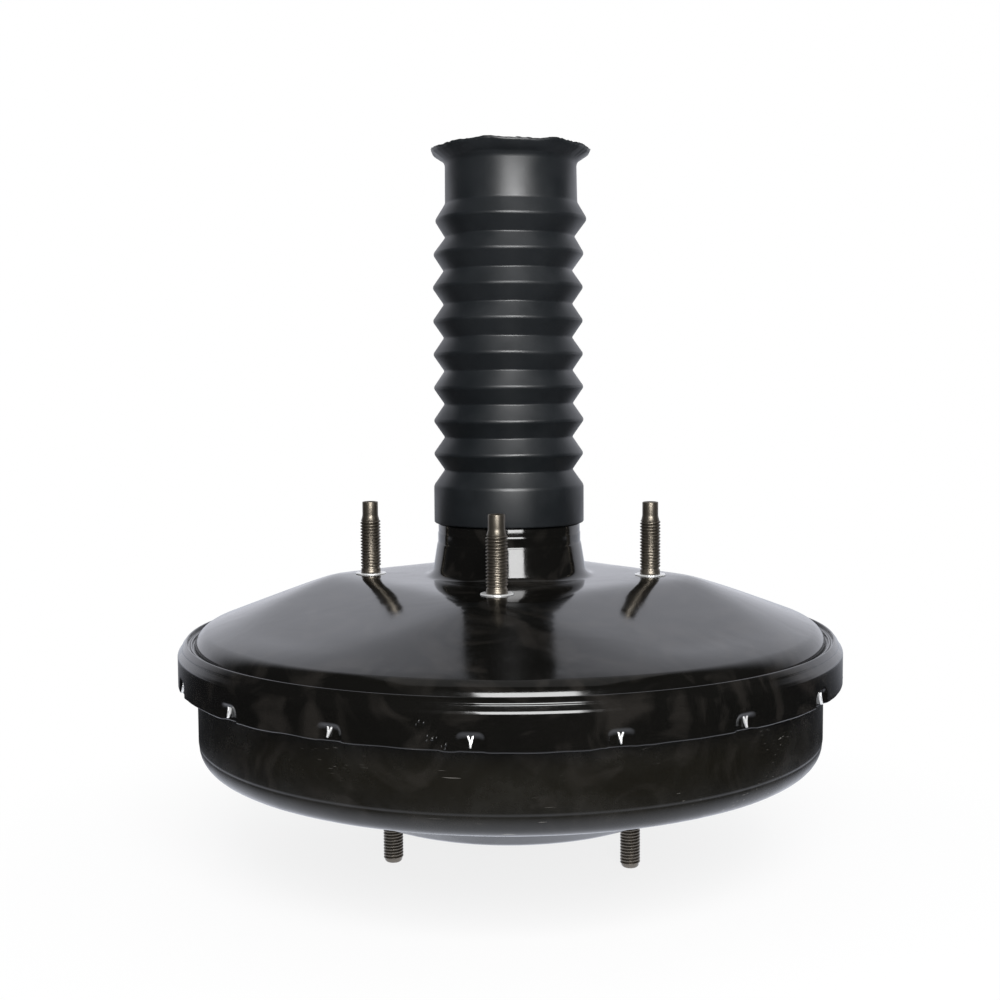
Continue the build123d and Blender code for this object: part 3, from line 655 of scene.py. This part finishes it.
# %% Finishes of the inner pieces
zinc = plain("bright_zinc_plate", ("#b9bcbc", "#a3a5a2"), metallic=1.0, roughness=0.30,
             grain_mm=0.8, relief_mm=0.02)
phosphate = plain("oiled_phosphate_steel", ("#56514a", "#7d766b"), metallic=0.9, roughness=0.36,
                  grain_mm=0.6, relief_mm=0.05)
turned_steel = plain("turned_steel", ("#a5a6a6", "#8f9091"), metallic=1.0, roughness=0.28,
                     grain_mm=0.5, relief_mm=0.01)
spring_steel = plain("drawn_spring_steel", ("#55585a", "#45484b"), metallic=1.0, roughness=0.32,
                     grain_mm=0.5, relief_mm=0.02)
nylon = plain("glass_filled_nylon", ("#1d1e20", "#27282a"), metallic=0.0, roughness=0.42,
              grain_mm=1.2, relief_mm=0.03, ior=1.53)
seal_rubber = rubber("nitrile_seal_rubber", ("#161617", "#1e1e20"), roughness=0.36)
diaphragm_rubber = rubber("diaphragm_rubber", ("#1d1d1e", "#2a2a2b"), roughness=0.5)
foam = plain("open_cell_filter_foam", ("#4a4b4d", "#2c2d2f"), metallic=0.0, roughness=0.9,
             grain_mm=0.9, relief_mm=0.5)
felt = plain("wool_felt", ("#8d8577", "#736c60"), metallic=0.0, roughness=0.95, grain_mm=0.4,
             relief_mm=0.2)
finishes = {
    "casing_paint": rear_enamel, "front_paint": front_enamel, "plated_steel": zinc,
    "stud_steel": phosphate, "boot_rubber": boot_rubber, "diaphragm_rubber": diaphragm_rubber,
    "seal_rubber": seal_rubber, "moulding": nylon, "spring_steel": spring_steel,
    "machined_steel": turned_steel, "foam": foam, "felt": felt}
print("finishes:", ", ".join(sorted(finishes)))

# %% Give each fixed piece its finish
slots = {part["node"]: part["material_slot"] for part in frame["record"]["subparts"]}
print("slots known for", len(slots), "pieces")
for name, piece in nodes.items():
    for index in range(len(piece.material_slots)):
        piece.material_slots[index].material = finishes[slots[name]]

# %% [markdown]
# ## Threaded studs
# The studs are cold-headed M8 screws with rolled threads, in dark oiled phosphate. A ring of
# stacked discs would look like a thread from one side only. A real thread is a helix. So the
# core, with its plain shank and dog point, is spun as a closed section, and the thread is one
# small wedge spun round the core while it climbs by the pitch on each turn. The wedge's foot is
# sunk in the core, and the wedge shrinks to nothing over the first and the last half turn.

# %% Helper: a helical thread
THREAD_PITCH = 1.25
THREAD_ROOT = 3.35
THREAD_CREST = 4.05
STUD_STEPS = 40


def thread(bottom, top, pitch, root, crest):
    """A mesh of a helical ridge from bottom to top round the Z axis. Sizes are in mm."""
    per_turn = 30
    steps = int((top - bottom) / pitch * per_turn)
    corners = [(root - 0.3, -0.5), (root, -0.44), (crest - 0.06, -0.2), (crest, -0.1), (crest, 0.1),
               (crest - 0.06, 0.2), (root, 0.44), (root - 0.3, 0.5)]
    bm = bmesh.new()
    ring = [bm.verts.new((r * MM, 0, (bottom + z * pitch) * MM)) for r, z in corners]
    face = bm.faces.new(ring)
    bmesh.ops.spin(bm, geom=[face] + face.edges[:] + ring, axis=(0, 0, 1), cent=(0, 0, 0),
                   dvec=(0, 0, pitch / per_turn * MM), angle=math.tau * steps / per_turn,
                   steps=steps, use_merge=False)
    for vert in bm.verts:
        radius = vert.co.xy.length / MM
        height = vert.co.z / MM
        if radius > root + 0.05:
            ends = min(1, max(0, min(height - bottom, top - height) / (pitch * 0.5)))
            vert.co.xy *= (root + (radius - root) * ends) / radius
    bmesh.ops.recalc_face_normals(bm, faces=bm.faces[:])
    return bm


def studs(name, places, outline, rounds, bottom, top):
    """The same screw at several places, as one piece, with a thread from bottom to top."""
    one = bmesh.new()
    profile(one, outline, rounds)
    spin_round(one, STUD_STEPS)
    bmesh.ops.recalc_face_normals(one, faces=one.faces[:])
    join(one, thread(bottom, top, THREAD_PITCH, THREAD_ROOT, THREAD_CREST))
    single = bpy.data.meshes.new("one_stud")
    one.to_mesh(single)
    one.free()
    bm = bmesh.new()
    for x, y in places:
        before = set(bm.verts)
        bm.from_mesh(single)
        bmesh.ops.translate(bm, verts=[v for v in bm.verts if v not in before],
                            vec=(x * MM, y * MM, 0))
    return add_piece(bm, name, "housing", phosphate)


# %% Rear studs with dog points
STUD_LENGTH = 29.1
DOG = 7.4
rear_stud_outline = [(0, STUD_LENGTH - 0.5), (2.2, STUD_LENGTH - 0.5), (2.6, STUD_LENGTH),
                     (3.15, STUD_LENGTH), (3.15, STUD_LENGTH - DOG + 1.9),
                     (3.6, STUD_LENGTH - DOG), (3.5, STUD_LENGTH - DOG - 0.6), (3.5, 2.4),
                     (3.95, 1.9), (3.95, 0.0), (6.0, -0.05), (6.0, -4.8), (7.0, -4.8),
                     (7.0, -7.3), (0, -7.3)]
rear_stud_rounds = {3: (0.35, 3), 4: (0.5, 3), 8: (0.3, 2), 10: (0.2, 2), 13: (0.4, 2)}
rear_stud_places = [(STUD_OFFSET, 0), (0, STUD_OFFSET), (-STUD_OFFSET, 0), (0, -STUD_OFFSET)]
rear_studs = studs("rear_stud_screws", rear_stud_places, rear_stud_outline, rear_stud_rounds,
                   2.3, STUD_LENGTH - DOG + 0.3)
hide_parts("rear_studs")

# %% Front studs
FRONT_STUD = 48.5
front_tip = BOSS_FACE - 27.5
front_stud_outline = [(0, front_tip), (2.9, front_tip), (3.5, front_tip + 0.8),
                      (3.5, BOSS_FACE - 5), (4.0, BOSS_FACE - 4.4), (4.0, BOSS_FACE),
                      (4.0, BOSS_FACE + 4.8), (7.0, BOSS_FACE + 4.8), (7.0, BOSS_FACE + 7.3),
                      (0, BOSS_FACE + 7.3)]
front_studs = studs("front_stud_screws", [(FRONT_STUD, 0), (-FRONT_STUD, 0)],
                    front_stud_outline, {1: (0.4, 2), 8: (0.4, 2)},
                    front_tip + 1.2, BOSS_FACE - 5.4)
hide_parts("front_studs")

# %% [markdown]
# ## Springs and the rolling diaphragm
# These parts change their shape between two bodies when the booster works, so none of them
# rides on a body here. A spring is a ring of wire carried round a helix. Its end turns lie
# closer together than the middle ones, because a real spring's ends are closed so that it stands
# square. The diaphragm is clamped at the rim and pulled at its middle, and in the booster its web
# rolls down with the piston. Here its bead rides on the housing, and its web on no body.

# %% Springs


def coil(name, mean, wire, bottom, top, turns, closing, centre=(0, 0)):
    """A compression spring. Its mean radius and its wire's radius are in mm.

    closing, from 0 to 1, draws the end turns together.
    """
    sides = 14
    per_turn = 48
    length = top - bottom - 2 * wire
    steps = int(turns * per_turn)
    bm = bmesh.new()
    before = None
    for step in range(steps + 1):
        share = step / steps
        height = bottom + wire + length * (share - closing * math.sin(math.tau * share) / math.tau)
        turn = Matrix.Rotation(math.tau * turns * share, 4, "Z")
        ring = [bm.verts.new(turn @ Vector((
            (mean + wire * math.cos(math.tau * k / sides)) * MM, 0,
            (height + wire * math.sin(math.tau * k / sides)) * MM))) for k in range(sides)]
        if before is None:
            bm.faces.new(ring)
        else:
            for k in range(sides):
                bm.faces.new((before[k], before[k - 1], ring[k - 1], ring[k]))
        before = ring
    bm.faces.new(before)
    bmesh.ops.recalc_face_normals(bm, faces=bm.faces[:])
    bmesh.ops.translate(bm, verts=bm.verts[:], vec=(centre[0] * MM, centre[1] * MM, 0))
    piece = add_piece(bm, name + "_coil", None, spring_steel)
    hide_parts(name)
    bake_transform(piece)


coil("return_spring", mean=33.2, wire=1.9, bottom=-87.2, top=-12.8, turns=6, closing=0.66)
coil("rod_spring", mean=10.0, wire=0.7, bottom=25.2, top=35.2, turns=5, closing=0.12)
coil("check_valve_spring", mean=4.2, wire=0.35, bottom=-83.6, top=-76.1, turns=4, closing=0.4,
     centre=(0, 100.25))

# %% Diaphragm: bead and web
WEB_EDGE = 115.6
PLATE_EDGE = 110.8
FOLD_BOTTOM = -41.64
RUBBER = 1.5
bead = turned(
    "diaphragm_bead",
    [(WEB_EDGE, FOLD_BOTTOM), (120.4, FOLD_BOTTOM), (120.4, -34.44), (127.4, -34.44),
     (127.4, -29.24), (118.9, -29.24), (118.9, FOLD_BOTTOM + RUBBER),
     (WEB_EDGE, FOLD_BOTTOM + RUBBER)],
    {1: (4.32, 6), 3: (0.8, 3), 4: (0.8, 3), 6: (2.82, 6)}, RUBBER_STEPS, "housing",
    diaphragm_rubber)
hanging = (-23, -25, -27, -29, -31, -33, -35)
web = turned(
    "diaphragm_web",
    [(20.3, -11.3), (66, -11.3), (PLATE_EDGE, -21.33)] + [(PLATE_EDGE, z) for z in hanging]
    + [(PLATE_EDGE, FOLD_BOTTOM), (WEB_EDGE, FOLD_BOTTOM), (WEB_EDGE, FOLD_BOTTOM + RUBBER),
       (PLATE_EDGE + RUBBER, FOLD_BOTTOM + RUBBER)]
    + [(PLATE_EDGE + RUBBER, z) for z in hanging[::-1]]
    + [(PLATE_EDGE + RUBBER, -19.83), (90, -15.0), (89, -14.0), (86, -13.3), (85, -13.9), (66, -9.8),
       (44, -9.8), (43, -9.1), (40, -9.1), (39, -9.8), (20.3, -9.8)],
    {10: (4.32, 6), 13: (2.82, 6), 21: (1.2, 4)}, RUBBER_STEPS, None,
    diaphragm_rubber)
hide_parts("diaphragm")
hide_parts("diaphragm")
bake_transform(web)

# %% [markdown]
# ## Floor, world and lights
# The floor is a plain pale sheet that keeps the soft shadow. Further out it turns into the same
# white as the world behind it, so no horizon shows. Black enamel looks like what it mirrors, so
# the mirrored surroundings differ from the ones that the camera sees. The mirrored floor is
# bright close under the booster and far behind it. The mirrored world is white behind, dim
# straight above, and dark in front, as a studio is on the side that nobody lights. Two softboxes
# give the highlights.

# %% Floor
FLOOR_HALF = 2.0
FLOOR_BACK = 1.58
FLOOR_GAP = 0.0003
floor_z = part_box("front_studs")[0][2] - FLOOR_GAP
floor_mesh = bmesh.new()
bmesh.ops.create_grid(floor_mesh, x_segments=8, y_segments=8, size=FLOOR_HALF)
bmesh.ops.translate(floor_mesh, verts=floor_mesh.verts[:], vec=(0, FLOOR_BACK, floor_z))
floor_data = bpy.data.meshes.new("studio_floor")
floor_mesh.to_mesh(floor_data)
floor_mesh.free()
floor = bpy.data.objects.new("studio_floor", floor_data)
bpy.context.scene.collection.objects.link(floor)
paper, place = blank("white_paper")
away = node(paper, "ShaderNodeVectorMath", {0: place}, operation="LENGTH")
fade = node(paper, "ShaderNodeMapRange", {
    "Value": away.outputs["Value"], "From Min": 0.12, "From Max": 0.30, "To Min": 0.82,
    "To Max": 1.0}, interpolation_type="SMOOTHSTEP")
spot = node(paper, "ShaderNodeSeparateXYZ", {"Vector": place})
behind = node(paper, "ShaderNodeMapRange", {
    "Value": spot.outputs["Y"], "From Min": 0.15, "From Max": 0.80, "To Min": 0.03,
    "To Max": 0.9}, interpolation_type="SMOOTHSTEP")
near = node(paper, "ShaderNodeMapRange", {
    "Value": away.outputs["Value"], "From Min": 0.16, "From Max": 0.32, "To Min": 1.5,
    "To Max": 0.0}, interpolation_type="SMOOTHSTEP")
mirrored = node(paper, "ShaderNodeMath", {0: behind.outputs["Result"],
                                          1: near.outputs["Result"]}, operation="MAXIMUM")
path = node(paper, "ShaderNodeLightPath")
share = node(paper, "ShaderNodeMath", {0: fade.outputs["Result"],
                                       1: path.outputs["Is Camera Ray"]}, operation="MULTIPLY")
matt = node(paper, "ShaderNodeBsdfDiffuse", {"Color": linear("#f6f6f6")})
glow = node(paper, "ShaderNodeEmission", {"Color": linear("#ffffff"), "Strength": 1.0})
direct = node(paper, "ShaderNodeMixShader", {0: share.outputs[0], 1: matt.outputs["BSDF"],
                                             2: glow.outputs["Emission"]})
mirror_glow = node(paper, "ShaderNodeEmission", {"Color": linear("#e9edf8"),
                                                 "Strength": mirrored.outputs[0]})
both = node(paper, "ShaderNodeMixShader", {0: path.outputs["Is Glossy Ray"],
                                           1: direct.outputs["Shader"],
                                           2: mirror_glow.outputs["Emission"]})
node(paper, "ShaderNodeOutputMaterial", {"Surface": both.outputs["Shader"]})
floor_data.materials.append(paper)
print("floor at", round(floor_z / MM, 1), "mm")

# %% World
world = bpy.data.worlds.new("studio")
bpy.context.scene.world = world
world.use_nodes = True
world.node_tree.nodes.clear()
direction = node(world, "ShaderNodeTexCoord").outputs["Generated"]
parts = node(world, "ShaderNodeSeparateXYZ", {"Vector": direction})
depth = node(world, "ShaderNodeMapRange", {
    "Value": parts.outputs["Y"], "From Min": 0.30, "From Max": 0.68, "To Min": 0.04,
    "To Max": 1.0}, interpolation_type="SMOOTHSTEP")
height = node(world, "ShaderNodeMapRange", {
    "Value": parts.outputs["Z"], "From Min": 0.75, "From Max": 0.98, "To Min": 1.0,
    "To Max": 0.12}, interpolation_type="SMOOTHSTEP")
level = node(world, "ShaderNodeMath", {0: depth.outputs["Result"],
                                       1: height.outputs["Result"]}, operation="MULTIPLY")
path = node(world, "ShaderNodeLightPath")
seen = node(world, "ShaderNodeMix", {0: path.outputs["Is Camera Ray"],
                                     2: level.outputs[0], 3: 1.0})
tint = node(world, "ShaderNodeMix", {0: path.outputs["Is Camera Ray"], 6: linear("#f4f6ff"),
                                     7: linear("#ffffff")}, data_type="RGBA")
sky = node(world, "ShaderNodeBackground", {"Color": tint.outputs[2],
                                           "Strength": seen.outputs[0]})
node(world, "ShaderNodeOutputWorld", {"Surface": sky.outputs["Background"]})
print("world:", world.name)

# %% Lights
LAMP_TARGET = Vector((0, 0, 0.02))


def softbox(name, place, size, power):
    """A rectangular area light that faces the middle of the booster."""
    data = bpy.data.lights.new(name, "AREA")
    data.shape = "RECTANGLE"
    data.size, data.size_y = size
    data.energy = power
    lamp = bpy.data.objects.new(name, data)
    bpy.context.scene.collection.objects.link(lamp)
    aim = (LAMP_TARGET - Vector(place)).to_track_quat("-Z", "Y")
    lamp.matrix_world = Matrix.Translation(place) @ aim.to_matrix().to_4x4()
    print(name, "gives", power, "W")


softbox("front_softbox", place=(0.18, -0.93, 0.50), size=(0.58, 0.64), power=19.0)
softbox("top_softbox", place=(0.0, 0.1, 1.7), size=(1.6, 1.4), power=2.5)
